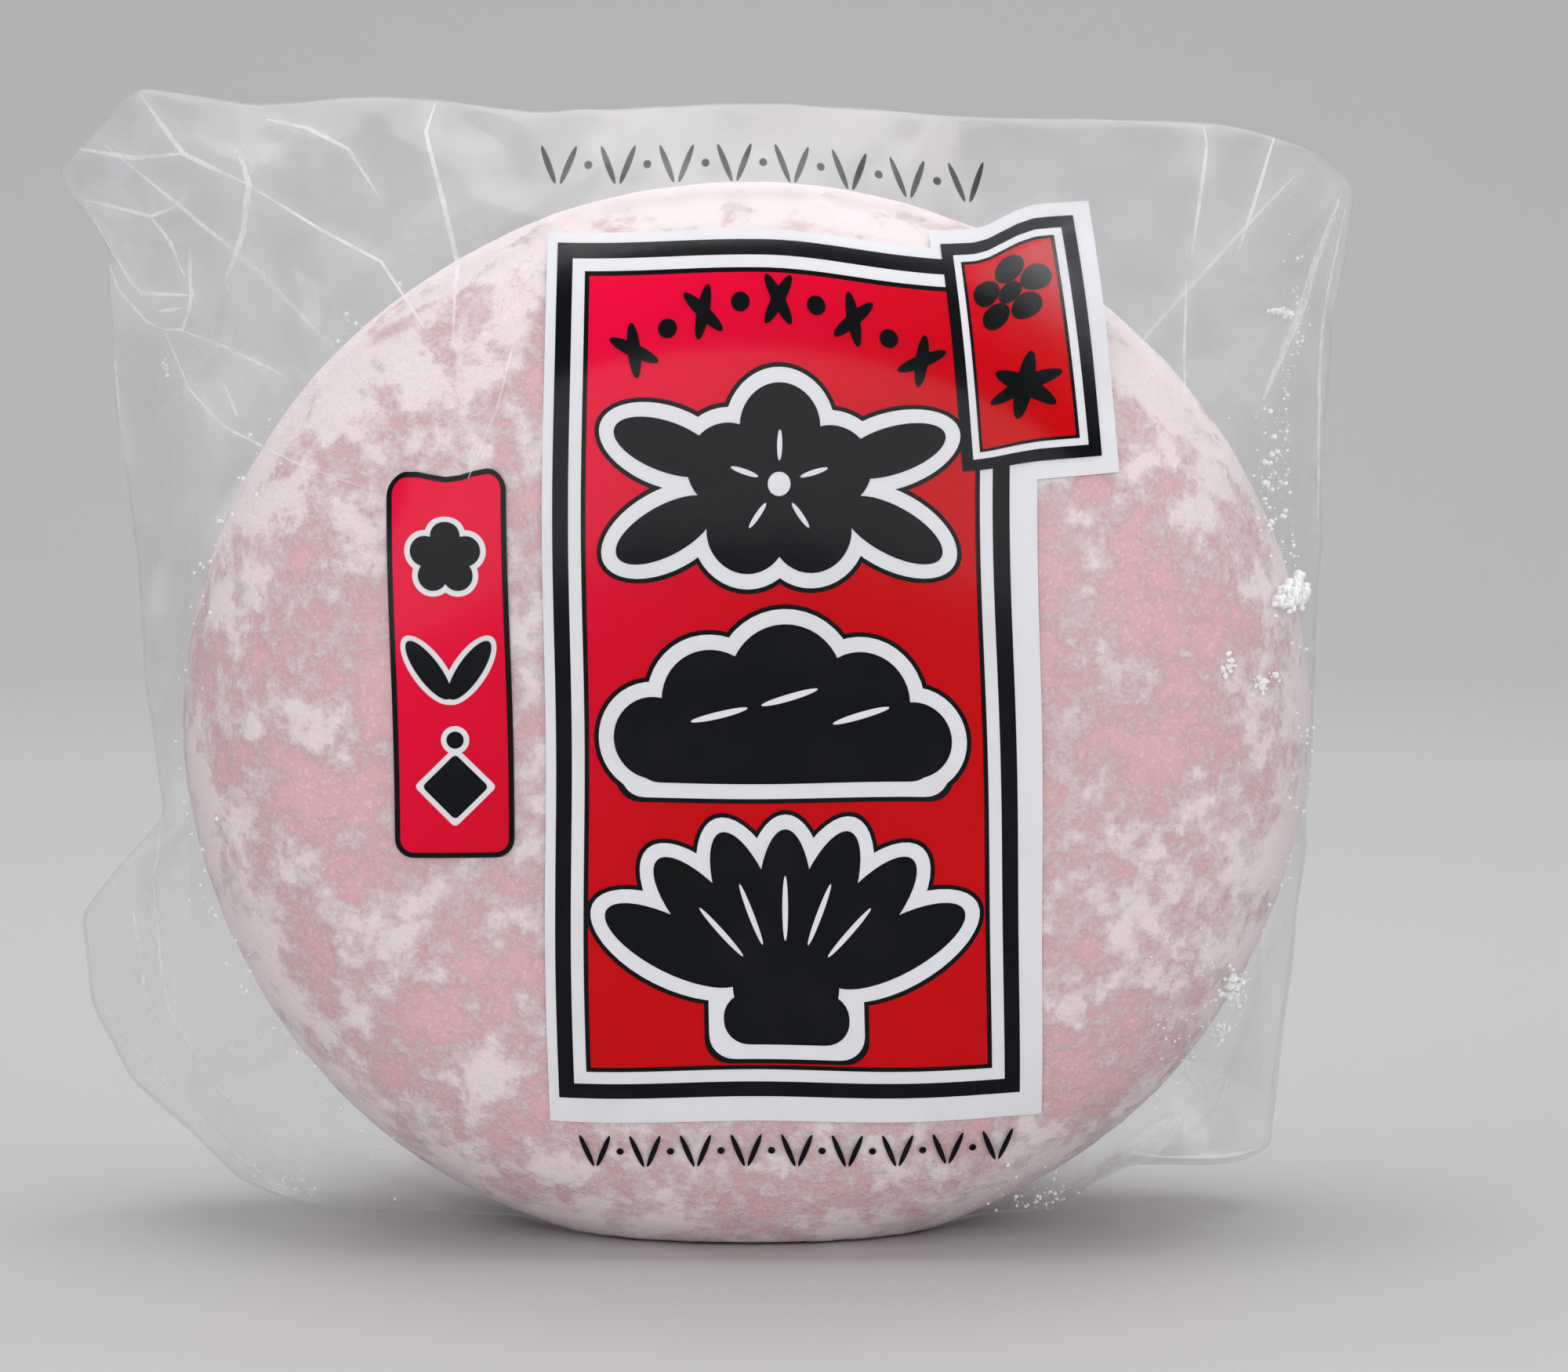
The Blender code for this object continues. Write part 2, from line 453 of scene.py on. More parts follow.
def add_lumps(cake):
    """Broad soft dents and the fine curds of the powdered skin."""
    moved = []
    for vertex in cake.data.vertices:
        dent = noise.noise(vertex.co / (14 * MM))
        curd = noise.fractal(vertex.co / (2.4 * MM), 0.9, 2.1, 3)
        moved.append(vertex.co + vertex.normal * (0.16 * MM * dent - 0.1 * MM + 0.05 * MM * curd))
    for vertex, place in zip(cake.data.vertices, moved):
        vertex.co = place


# ------------------------------------------------------------------------------------------- film


SIM_SCALE = 20.0  # the cloth solver works best on things of about a metre
SIM_FRAMES = 18
SLACK = 0.03  # how much longer the film is than the straight way from the cake to its edge
LARGEST_MOVE = 1.8 * MM
PRINT_SPAN_X = (-10.5, 25.5)  # the print stiffens the front film over this width and height, in mm
PRINT_SPAN_Z = (9.0, 67.5)
PRINT_STIFF_REACH = 4.0


def tree_of(piece):
    mesh = piece.data
    corners = [vertex.co for vertex in mesh.vertices]
    return BVHTree.FromPolygons(corners, [tuple(face.vertices) for face in mesh.polygons])


def share_of_cake(place):
    """0 at the cake's middle, 1 on its rim as seen from the front."""
    across = (place.x - CAKE_CENTRE_X) / CAKE_HALF_WIDTH
    up = (place.z - CAKE_CENTRE_Z) / CAKE_HALF_HEIGHT
    return math.hypot(across, up)


def printed_share(place):
    """1 behind the stiff printed ground, where the front film stays smooth, and 0 away from it."""
    if place.y > 0:
        return 0.0
    off_x = max(PRINT_SPAN_X[0] - place.x / MM, place.x / MM - PRINT_SPAN_X[1], 0.0)
    off_z = max(PRINT_SPAN_Z[0] - place.z / MM, place.z / MM - PRINT_SPAN_Z[1], 0.0)
    return 1 - smooth_step(0.0, PRINT_STIFF_REACH, math.hypot(off_x, off_z))


def held_share(vertex):
    """1 where the film is stuck to the cake's faces or is its folded outer edge, 0 where it is free."""
    on_face = 1 - smooth_step(0.80, 0.98, share_of_cake(vertex.co))
    on_edge = 1 - smooth_step(0.25, 0.45, abs(vertex.normal.y))
    return max(on_face, on_edge, printed_share(vertex.co))


def make_film(cake):
    """The wrap's own solid, slackened, folded and marked with where it is slack, with painted facet
    shade, and where its folds get a painted highlight, partly film whitened there.
    """
    film = new_piece("film_wrap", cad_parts[WRAP].data.copy())
    in_edit_mode(
        film,
        lambda: bpy.ops.mesh.remove_doubles(threshold=0.001 * MM),
        lambda: bpy.ops.mesh.tris_convert_to_quads(face_threshold=0.7, shape_threshold=0.7),
    )
    crumple(film, cake)
    finish_with(film, "SUBSURF", levels=2, render_levels=2)
    fold_film(film)
    return film


def crumple(film, cake):
    """The slack film buckles between the cake and its own folded edge."""
    before = [vertex.co.copy() for vertex in film.data.vertices]
    held = film.vertex_groups.new(name="held")
    for vertex in film.data.vertices:
        held.add([vertex.index], held_share(vertex), "REPLACE")
    for vertex, place in zip(film.data.vertices, before):
        push = noise.noise_vector(place / (5 * MM)) * 0.25 * MM * (1 - held_share(vertex))
        vertex.co = (place + push) * SIM_SCALE
    core = new_piece("sim_core", cake.data.copy())
    finish_with(core, "REMESH", mode="VOXEL", voxel_size=1.8 * MM)
    core.scale = (SIM_SCALE,) * 3
    set_place(core)
    core.modifiers.new("core", "COLLISION")
    core.collision.thickness_outer = 0.004
    cloth = film.modifiers.new("cloth", "CLOTH")
    film_sheet = cloth.settings
    film_sheet.quality = 5
    film_sheet.mass = 0.1
    film_sheet.tension_stiffness = 30
    film_sheet.compression_stiffness = 30
    film_sheet.shear_stiffness = 12
    film_sheet.bending_stiffness = 0.6
    film_sheet.shrink_min = -SLACK
    film_sheet.vertex_group_mass = "held"
    film_sheet.effector_weights.gravity = 0
    cloth.collision_settings.distance_min = 0.004
    cloth.point_cache.frame_end = SIM_FRAMES
    scene = bpy.context.scene
    for moment in range(1, SIM_FRAMES + 1):
        scene.frame_set(moment)
    activate(film)
    bpy.ops.object.modifier_apply(modifier=cloth.name)
    scene.frame_set(1)
    bpy.data.objects.remove(core)
    for vertex, place in zip(film.data.vertices, before):
        move = vertex.co / SIM_SCALE - place
        if move.length > LARGEST_MOVE:
            move *= LARGEST_MOVE / move.length
        vertex.co = place + move


# Folds in the film: how far each stands out, half the width of its bright stripe (a painted highlight,
# partly film whitened at the fold) and the places it runs through, in millimetres as seen from the
# front. The upper left corner is crumpled, so its folds lie close together.
FRONT_FOLDS = [
    (0.5, 0.16, [(-17.8, 74.5), (-18.2, 72.5), (-16.9, 68.3), (-15.8, 64.1), (-15.9, 59.5)]),
    (0.3, 0.10, [(-29.4, 69.0), (-24.8, 66.2), (-20.8, 64.1), (-17.5, 59.5)]),
    (0.4, 0.10, [(-36.0, 59.8), (-33.8, 56.0), (-31.1, 53.6), (-26.0, 51.3), (-21.5, 49.9)]),
    (0.3, 0.12, [(-34.6, 59.7), (-30.9, 58.6), (-26.9, 56.9)]),
    (0.3, 0.10, [(-31.1, 56.2), (-30.1, 54.1)]),
    (0.5, 0.15, [(-41.3, 71.6), (-37.4, 70.9), (-33.9, 71.1)]),
    (0.5, 0.16, [(-37.1, 75.1), (-35.0, 72.4), (-33.9, 71.1), (-29.4, 69.0)]),
    (-0.4, 0.12, [(-41.1, 68.3), (-38.1, 67.6), (-36.2, 67.1), (-34.6, 67.6), (-33.6, 68.5)]),
    (0.5, 0.12, [(-36.2, 67.1), (-34.7, 65.3), (-33.9, 63.2)]),
    (0.5, 0.14, [(-40.9, 67.6), (-39.5, 65.2), (-38.5, 63.2), (-37.6, 62.2), (-33.6, 62.0)]),
    (-0.4, 0.10, [(-36.5, 61.0), (-34.6, 61.2)]),
    (0.4, 0.14, [(-36.0, 59.8), (-34.6, 59.8), (-33.6, 62.0), (-33.4, 65.0)]),
    (0.4, 0.22, [(-30.4, 71.3), (-29.8, 70.2), (-29.4, 69.0), (-29.7, 66.0), (-31.1, 62.7)]),
    (-0.3, 0.12, [(-28.7, 73.4), (-26.0, 72.8), (-23.2, 71.4), (-21.1, 68.3)]),
    (0.2, 0.10, [(-41.1, 64.6), (-40.1, 58.0), (-39.5, 51.1)]),
    (0.2, 0.12, [(-41.0, 66.9), (-39.4, 62.4), (-37.4, 60.3), (-36.0, 59.8)]),
    (0.1, 0.10, [(-12.0, 58.9), (-13.0, 54.8), (-14.8, 50.5)]),
    (0.2, 0.10, [(30.7, 62.9), (30.5, 55.6)]),
    (0.5, 0.32, [(41.6, 68.6), (38.9, 61.4), (36.1, 55.2)]),
    (0.3, 0.13, [(42.2, 68.1), (40.7, 59.7), (40.9, 46.1)]),
    (0.3, 0.12, [(37.3, 72.7), (36.8, 71.5), (34.2, 64.6)]),
    (0.3, 0.12, [(32.4, 73.0), (32.5, 71.7), (31.1, 64.6)]),
    (0.4, 0.12, [(-38.9, 38.3), (-37.4, 26.9), (-35.6, 15.1), (-32.6, 9.8), (-29.8, 7.1), (-26.6, 2.0)]),
    (0.3, 0.16, [(-38.5, 21.1), (-37.4, 15.8), (-37.0, 14.1)]),
    (0.3, 0.10, [(-41.2, 14.6), (-36.8, 9.4), (-32.4, 4.8), (-28.4, 2.2)]),
    (0.6, 0.95, [(24.3, 2.6), (27.2, 5.0), (31.0, 8.4)]),
    (0.3, 0.14, [(31.3, 6.6), (34.2, 8.8), (36.3, 16.6)]),
]
BACK_FOLDS = [
    (0.5, 0.14, [(-40.0, 72.0), (-31.0, 64.0), (-25.0, 57.5)]),
    (0.4, 0.14, [(39.0, 70.0), (32.0, 62.0), (27.0, 56.0)]),
    (0.4, 0.14, [(-37.0, 8.0), (-26.0, 15.0)]),
    (0.4, 0.14, [(36.0, 5.0), (28.0, 13.0)]),
]
# The folds' white ribbons are painted highlights, partly film whitened at the fold.
CREASE_GAP = 0.03 * MM  # how far the creases' bright lines stand off the film
WIDE_FOLD = 0.5  # a fold wider than this stands out along its lower side, and faces up
WIDE_FOLD_LIP = 1.4 * MM
# Where the film is crumpled most: X, Z, reach, and the spacing of the facets there.
CRUMPLED = [
    (-36.5, 67.0, 12.0, 2.6), (39.0, 68.0, 9.0, 3.6),
    (-38.0, 16.0, 9.0, 3.6), (31.0, 6.0, 8.0, 3.4),
]
FACET_SPACING = 6.5
FACET_RELIEF = 0.35
FACET_SOFTNESS = 0.45
CREASE_GLOW = 0.5
CREASE_STEP = 0.2


def fold_sheet(folds, chance):
    """The folds and the facets between them as a height map: X and Z in mm, with Y the height."""
    places, heights, lines = [], [], []
    for height, _, run in folds:
        first = len(places)
        places += [Vector(place) for place in run]
        heights += [height] * len(run)
        lines += [(i, i + 1) for i in range(first, len(places) - 1)]
    for _ in range(1500):
        place = Vector((chance.uniform(-48, 48), chance.uniform(-5, 81)))
        spacing = FACET_SPACING
        for x, z, reach, near_spacing in CRUMPLED:
            if (place - Vector((x, z))).length < reach:
                spacing = near_spacing
        if all((place - other).length > spacing for other in places):
            places.append(place)
            heights.append(chance.uniform(-FACET_RELIEF, FACET_RELIEF))
    made = delaunay_2d_cdt(places, lines, [], 0, 0.01)
    corners = []
    for place, origin in zip(made[0], made[3]):
        height = heights[origin[0]] if origin else 0.3
        corners.append(Vector((place.x, height, place.y)))
    return BVHTree.FromPolygons(corners, made[2])


def crease_tree(folds):
    """Closely spaced points along the folds with their widths, to measure how near a crease is."""
    points = []
    for _, width, run in folds:
        for start, end in zip(run, run[1:]):
            start, end = Vector((start[0], 0, start[1])), Vector((end[0], 0, end[1]))
            steps = math.ceil((end - start).length / CREASE_STEP)
            points += [(start.lerp(end, i / steps), width) for i in range(steps + 1)]
    tree = KDTree(len(points))
    for i, (point, _) in enumerate(points):
        tree.insert(point, i)
    tree.balance()
    return tree, [width for _, width in points]


def facet_height(facets, place):
    """The height map's height at a place, softened a little, and the facet there."""
    total = 0.0
    found = 0
    for across, up in ((0, 0), (1, 0), (-1, 0), (0, 1), (0, -1)):
        start = Vector((place.x + across * FACET_SOFTNESS, -50, place.z + up * FACET_SOFTNESS))
        hit, _, facet, _ = facets.ray_cast(start, Vector((0, 1, 0)))
        if hit:
            total += hit.y / 5
            found = facet
    return total, found


def make_fold_whitening_and_highlights(film):
    """The folds' painted highlights, partly film whitened there: narrow white ribbons that lie on the
    film and taper at both ends.
    """
    tree = tree_of(film)
    vertices, faces = [], []
    for side, folds in ((-1, FRONT_FOLDS), (1, BACK_FOLDS)):
        for _, half_width, run in folds:
            add_ribbon(vertices, faces, tree, side, half_width, eased(run))
    mesh = bpy.data.meshes.new("film_fold_whitening_and_highlights")
    mesh.from_pydata(vertices, [], faces)
    return new_piece("film_fold_whitening_and_highlights", mesh)


def eased(run):
    """The run as closely spaced points."""
    points = []
    for start, end in zip(run, run[1:]):
        steps = math.ceil((Vector(end) - Vector(start)).length / CREASE_STEP)
        points += [Vector(start).lerp(Vector(end), i / steps) for i in range(steps)]
    return [*points, Vector(run[-1])]


def add_ribbon(vertices, faces, tree, side, half_width, points):
    """Two rails either side of the points, dropped onto the film from the front or from behind."""
    rails = []
    for i, point in enumerate(points):
        ahead = points[min(i + 2, len(points) - 1)] - points[max(i - 2, 0)]
        taper = math.sin(math.pi * (i + 0.5) / len(points)) ** 0.5
        offset = Vector((-ahead.y, ahead.x)).normalized() * half_width * taper
        lip = WIDE_FOLD_LIP * taper if half_width > WIDE_FOLD else 0.0
        rail = []
        for place in (point - offset, point + offset):
            start = Vector((place.x * MM, side * 0.1, place.y * MM))
            hit = tree.ray_cast(start, Vector((0, -side, 0)))[0]
            if hit:
                gap = CREASE_GAP + (lip if place.y < point.y else 0.0)
                rail.append(hit + Vector((0, side * gap, 0)))
        rails.append(rail)
    for rail, following in zip(rails, rails[1:]):
        if len(rail) == 2 and len(following) == 2:
            first = len(vertices)
            vertices += [*rail, *reversed(following)]
            faces.append((first, first + 1, first + 2, first + 3)[::side])


def fold_film(film):
    """Press folds and facets into the slack film, and mark for its finish where it is slack, with
    painted facet shade, and where its folds get a painted highlight, partly film whitened there.
    """
    chance = random.Random(7)
    sides = {}
    for side, folds in ((-1, FRONT_FOLDS), (1, BACK_FOLDS)):
        sides[side] = (fold_sheet(folds, chance), crease_tree(folds))
    # Painted facet shade: each facet's haze is scaled at random, so that facets read lighter and darker
    # as if they caught the light differently.
    shades = [chance.uniform(0.4, 1.1) for _ in range(97)]
    slack, whitening_and_highlight, moved = [], [], []
    for vertex in film.data.vertices:
        facets, (creases, widths) = sides[-1 if vertex.normal.y < 0 else 1]
        place = vertex.co / MM
        edge = 1 - smooth_step(0.15, 0.5, abs(vertex.normal.y))
        share = share_of_cake(vertex.co)
        height, facet = facet_height(facets, place)
        shade = shades[facet % len(shades)]
        free = smooth_step(0.90, 1.06, share) * (1 - edge) * (1 - printed_share(vertex.co))
        _, nearest, away = creases.find(Vector((place.x, 0, place.z)))
        # Painted highlight along each fold, partly film whitened there, fading off to the sides.
        highlight_line = math.exp(-((away / (widths[nearest] + CREASE_GLOW)) ** 2)) * free
        slack.append(shade * smooth_step(0.84, 1.02, share) * (1 - 0.7 * edge))
        whitening_and_highlight.append(highlight_line)
        moved.append(vertex.co + Vector((0, math.copysign(height * MM * free, vertex.normal.y), 0)))
    for vertex, place in zip(film.data.vertices, moved):
        vertex.co = (place.x, place.y, max(place.z, WRAP_LOW.z))
    # The slack attribute: where the film is slack, times the painted facet shade.
    film.data.attributes.new("slack", "FLOAT", "POINT").data.foreach_set("value", slack)
    # The folds' attribute: a painted highlight along them, partly film whitened there.
    film.data.attributes.new("whitening_and_highlight", "FLOAT", "POINT").data.foreach_set("value", whitening_and_highlight)


# ---------------------------------------------------------------------------------- back of the wrap

SEAM_HALF_WIDTH = 4.2 * MM
SEAM_SPAN = (-24.0 * MM, 27.0 * MM)
FLAP_REACH = 15.0 * MM
FLAP_HALF_HEIGHT = 26.0 * MM
FLAP_NARROWING = 5.0 * MM
CRIMP_WIDTH = 7.0 * MM  # the crimped strip that seals each end
CRIMP_PITCH = 1.1 * MM
CRIMP_DEPTH = 0.14 * MM
PLY_GAP = 0.25 * MM


def back_sheet(name, low_x, high_x, half_height, cells):
    """A flat sheet behind the cake, ready to be laid on the back film."""
    bpy.ops.mesh.primitive_grid_add(
        x_subdivisions=cells[0], y_subdivisions=cells[1], size=2.0, rotation=(-math.pi / 2, 0, 0)
    )
    sheet = named(name)
    set_place(sheet)
    sheet.scale = ((high_x - low_x) / 2, 1, half_height)
    sheet.location = ((high_x + low_x) / 2, WRAP_HIGH.y + 5 * MM, CAKE_CENTRE_Z)
    set_place(sheet)
    return sheet


def lay_on_back(sheet, film, crimp):
    """Lay the sheet on the back film and press in its crimps. crimp(place) is 0 to 1 and a phase."""
    finish_with(
        sheet, "SHRINKWRAP", target=film, wrap_method="PROJECT", use_project_y=True,
        use_positive_direction=False, use_negative_direction=True,
    )
    whitening_and_highlight = []
    for vertex in sheet.data.vertices:
        share, phase = crimp(vertex.co)
        wave = math.sin(phase / CRIMP_PITCH * 2 * math.pi)
        vertex.co.y += PLY_GAP + CRIMP_DEPTH * (1 + wave) * share
        # Painted highlight on the crests of the crimps, partly film whitened by the crimping.
        whitening_and_highlight.append(share * max(0.0, wave) * 0.5)
    sheet.data.attributes.new("slack", "FLOAT", "POINT").data.foreach_set("value", [0.7] * len(whitening_and_highlight))
    sheet.data.attributes.new("whitening_and_highlight", "FLOAT", "POINT").data.foreach_set("value", whitening_and_highlight)
    return sheet


def make_seam(film):
    """The fin seam across the back, crimped along its whole length."""
    seam = back_sheet("film_seam", *SEAM_SPAN, SEAM_HALF_WIDTH, (220, 30))
    return lay_on_back(seam, film, lambda place: (1.0, place.x))


def make_flap(name, side, film):
    """One folded end: a trapezium with a crimped strip along its inner edge."""
    outer = (WRAP_LOW.x + 6.5 * MM) if side < 0 else (WRAP_HIGH.x - 4.5 * MM)
    inner = outer - side * FLAP_REACH
    flap = back_sheet(name, min(outer, inner), max(outer, inner), FLAP_HALF_HEIGHT, (60, 90))
    for vertex in flap.data.vertices:
        share = (vertex.co.x - outer) / (inner - outer)
        up = (vertex.co.z - CAKE_CENTRE_Z) / FLAP_HALF_HEIGHT
        vertex.co.x += side * FLAP_NARROWING * share * up * up
        vertex.co.z -= up * share * 3 * MM

    def crimp(place):
        up = (place.z - CAKE_CENTRE_Z) / FLAP_HALF_HEIGHT
        edge = inner + side * FLAP_NARROWING * up * up
        off = abs(place.x - edge)
        return 1 - smooth_step(CRIMP_WIDTH * 0.85, CRIMP_WIDTH, off), off

    return lay_on_back(flap, film, crimp)


# ------------------------------------------------------------------------------------------ starch

# Loose starch between the cake and the film: middle X and Z, spread either way, how many grains,
# and the smallest and largest grain, in millimetres.
STARCH_DRIFTS = [
    (38.2, 42.6, 0.85, 0.45, 90, 0.30, 0.90),
    (39.3, 42.3, 0.50, 0.35, 30, 0.20, 0.60),
    (33.2, 38.5, 0.35, 0.35, 20, 0.15, 0.45),
    (35.6, 37.4, 0.45, 0.35, 26, 0.15, 0.50),
    (34.2, 17.0, 0.50, 0.70, 40, 0.18, 0.60),
    (33.4, 14.2, 0.40, 0.60, 26, 0.15, 0.50),
    (30.8, 16.5, 2.8, 3.4, 150, 0.05, 0.20),
    (39.3, 54.0, 1.2, 5.5, 420, 0.05, 0.26),
    (39.6, 55.0, 0.6, 2.4, 120, 0.08, 0.36),
    (37.4, 60.9, 0.70, 0.18, 30, 0.20, 0.45),
    (36.8, 50.0, 0.70, 2.4, 80, 0.08, 0.40),
    (23.2, 2.6, 2.2, 1.1, 120, 0.06, 0.28),
    (-37.5, 53.7, 0.40, 0.45, 40, 0.15, 0.45),
    (-36.2, 57.4, 0.30, 0.50, 22, 0.12, 0.36),
    (-28.3, 3.0, 1.6, 0.8, 60, 0.06, 0.28),
    (-38.0, 50.0, 0.8, 5.0, 60, 0.05, 0.16),
]
RIM_GRAINS = 320  # on the cake's edge, all round but for its foot
RIM_GRAIN_SIZES = (0.10, 0.42)
GRAIN_ROUGHNESS = 0.25


def grain_places(chance):
    """X, Z and size of every grain, in millimetres."""
    for x, z, wide, tall, count, small, large in STARCH_DRIFTS:
        for _ in range(count):
            size = small * (large / small) ** (chance.random() ** 1.6)
            yield chance.gauss(x, wide), chance.gauss(z, tall), size
    small, large = RIM_GRAIN_SIZES
    for _ in range(RIM_GRAINS):
        turn = math.radians(chance.uniform(-50, 230))
        share = chance.gauss(0.975, 0.018)
        x = CAKE_CENTRE_X + share * CAKE_HALF_WIDTH * math.cos(turn)
        z = CAKE_CENTRE_Z + share * CAKE_HALF_HEIGHT * math.sin(turn)
        yield x / MM, z / MM, chance.uniform(small, large) ** 1.5


def make_starch(film, cake):
    """Every grain is a small rough lump, lying against the film or on the cake."""
    bpy.ops.mesh.primitive_ico_sphere_add(subdivisions=2, radius=1.0)
    lump = named("grain")
    corners = [vertex.co.copy() for vertex in lump.data.vertices]
    sides = [tuple(face.vertices) for face in lump.data.polygons]
    bpy.data.objects.remove(lump)
    chance = random.Random(11)
    film_tree, cake_tree = tree_of(film), tree_of(cake)
    vertices, faces = [], []
    for x, z, size in grain_places(chance):
        radius = size * MM / 2
        place = resting_place(Vector((x * MM, -1.0, z * MM)), radius, film_tree, cake_tree)
        if not place:
            continue
        first = len(vertices)
        seed = Vector((chance.random() * 50, 0, 0))
        for corner in corners:
            rough = 1 + GRAIN_ROUGHNESS * noise.noise(corner * 1.3 + seed) * 2
            vertices.append(place + Vector((corner.x, corner.y * 0.4, corner.z)) * radius * rough)
        faces += [tuple(first + i for i in side) for side in sides]
    mesh = bpy.data.meshes.new("starch_grains")
    mesh.from_pydata(vertices, [], faces)
    return new_piece("starch_grains", mesh)


def resting_place(start, radius, film_tree, cake_tree):
    """Just inside the film, or on the cake where that lies closer. No grain lies behind the print."""
    onwards = Vector((0, 1, 0))
    film_place = film_tree.ray_cast(start, onwards)[0]
    if not film_place or film_place.y > 0 or printed_share(film_place) > 0.2:
        return None
    cake_place = cake_tree.ray_cast(start, onwards)[0]
    depth = film_place.y + radius * 0.6 + 0.03 * MM
    if cake_place:
        depth = min(depth, cake_place.y - radius * 0.2)
    return Vector((start.x, depth, start.z))


# ------------------------------------------------------------------------------------------ print

# The print lies just inside the front film, one thin layer of ink on the next. Sizes and places are
# in millimetres, X and Z as seen from the front.
PLY = 0.015 * MM  # from one layer of ink to the next
PRINT_CELL = 0.9  # the layers are cut from a grid this fine, so that they follow the film

PANEL = (5.3, 38.2, 29.5, 54.3)  # the tall panel: middle X, middle Z, width and height
PANEL_GROUND = (5.7, 37.7, 31.6, 56.6)
FRAME_BAND = 1.0
RING_BAND = 0.8
LINE_BAND = 0.3

CORNER_TAG = (20.4, 59.1, 7.9, 15.2)  # the small tag leaning over the panel's upper right corner
CORNER_TAG_GROUND = (20.6, 59.0, 9.6, 17.2)
CORNER_TAG_LEAN = math.radians(5.0)
CORNER_BANDS = (0.75, 1.2, 1.4)

SIDE_TAG = (-16.0, 38.7, 7.6, 24.2)  # the tall tag left of the panel
SIDE_TAG_LEAN = math.radians(0.8)
SIDE_TAG_BAND = 0.35
SIDE_TAG_ROUND = 1.2

EMBLEM_WHITE = 0.95  # the white outline round each black shape
EMBLEM_BLACK = 1.25  # and the thin black one round that
MARK_WHITE = 0.35

BLOSSOM_HEIGHT = 50.8
CLOUD_HEIGHT = 35.6
FAN_HEIGHT = 21.6


def box(field, inset=0.0, lean=0.0, rounding=0.0):
    """A rectangle: middle X, middle Z, half width, half height, lean, corner radius."""
    x, z, width, height = field
    return ("box", x, z, width / 2 - inset, height / 2 - inset, lean, rounding)


def dot(x, z, radius):
    return ("oval", x, z, radius, radius, 0.0, 0.0)


def petal(x, z, half_length, half_width, turn):
    """An ellipse whose long axis is turned up from +X."""
    return ("oval", x, z, half_length, half_width, turn, 0.0)


def grown(shapes, by):
    """The same shapes, reaching further out all round."""
    return [(kind, x, z, a + by, b + by, turn, rounding) for kind, x, z, a, b, turn, rounding in shapes]


def blossom(x, z, reach, petal_size):
    """Five round petals about a middle."""
    turns = [math.radians(90 + 72 * i) for i in range(5)]
    petals = [dot(x + reach * math.cos(t), z + reach * math.sin(t), petal_size) for t in turns]
    return [dot(x, z, petal_size * 0.8), *petals]


def blossom_emblem():
    """A blossom between two pairs of leaves."""
    shapes = blossom(5.2, BLOSSOM_HEIGHT - 0.6, 3.6, 2.65)
    for side in (-1, 1):
        for lift, slope in ((1.9, 0.35), (-3.3, -0.5)):
            turn = side * slope
            shapes.append(petal(5.2 + side * 7.4, BLOSSOM_HEIGHT - 0.2 + lift, 3.6, 1.55, turn))
    return shapes


def cloud_emblem():
    """A rolling cloud over a flat base."""
    bumps = [(-3.2, -1.4, 2.6), (0.6, 1.0, 3.3), (5.4, 2.2, 3.7), (10.2, 0.8, 3.2), (13.6, -1.6, 2.4)]
    shapes = [dot(x, CLOUD_HEIGHT + z, r) for x, z, r in bumps]
    shapes.append(("box", 5.2, CLOUD_HEIGHT - 1.9, 9.6, 2.3, 0.0, 1.5))
    return shapes


def fan_emblem():
    """An open fan: ribs spread out over a rounded grip."""
    shapes = [("box", 5.2, FAN_HEIGHT - 5.4, 4.0, 1.7, 0.0, 1.6), dot(5.2, FAN_HEIGHT - 3.2, 3.4)]
    for step in range(-3, 4):
        turn = math.pi / 2 - step * 0.36
        reach = 6.4 + 0.55 * abs(step)
        x = 5.2 + reach * math.cos(turn)
        z = FAN_HEIGHT - 4.4 + reach * math.sin(turn)
        shapes.append(petal(x, z, 4.9, 1.75, turn))
    return shapes


def emblem_details():
    """White marks inside the black shapes."""
    marks = [dot(5.2, BLOSSOM_HEIGHT - 0.6, 0.75)]
    for i in range(5):
        turn = math.radians(90 + 72 * i)
        x = 5.2 + 2.4 * math.cos(turn)
        z = BLOSSOM_HEIGHT - 0.6 + 2.4 * math.sin(turn)
        marks.append(petal(x, z, 0.95, 0.17, turn))
    for x, z in ((1.0, 0.2), (5.6, 1.3), (10.2, 0.0)):
        marks.append(petal(x, CLOUD_HEIGHT + z, 1.9, 0.22, 0.25))
    for step in (-2, -1, 0, 1, 2):
        turn = math.pi / 2 - step * 0.36
        x = 5.2 + 6.2 * math.cos(turn)
        z = FAN_HEIGHT - 4.4 + 6.2 * math.sin(turn)
        marks.append(petal(x, z, 2.1, 0.18, turn))
    return marks


def arc_marks():
    """Small leaves and beads on an arc over the emblems."""
    marks = []
    for i in range(9):
        turn = math.radians(90 + 9.0 * (4 - i))
        x = 5.0 + 16.0 * math.cos(turn)
        z = 45.6 + 16.0 * math.sin(turn)
        if i % 2 == 0:
            marks.append(petal(x, z, 1.75, 0.42, turn - 0.5))
            marks.append(petal(x, z, 1.75, 0.42, turn + 0.5))
        else:
            marks.append(dot(x, z, 0.62))
    return marks


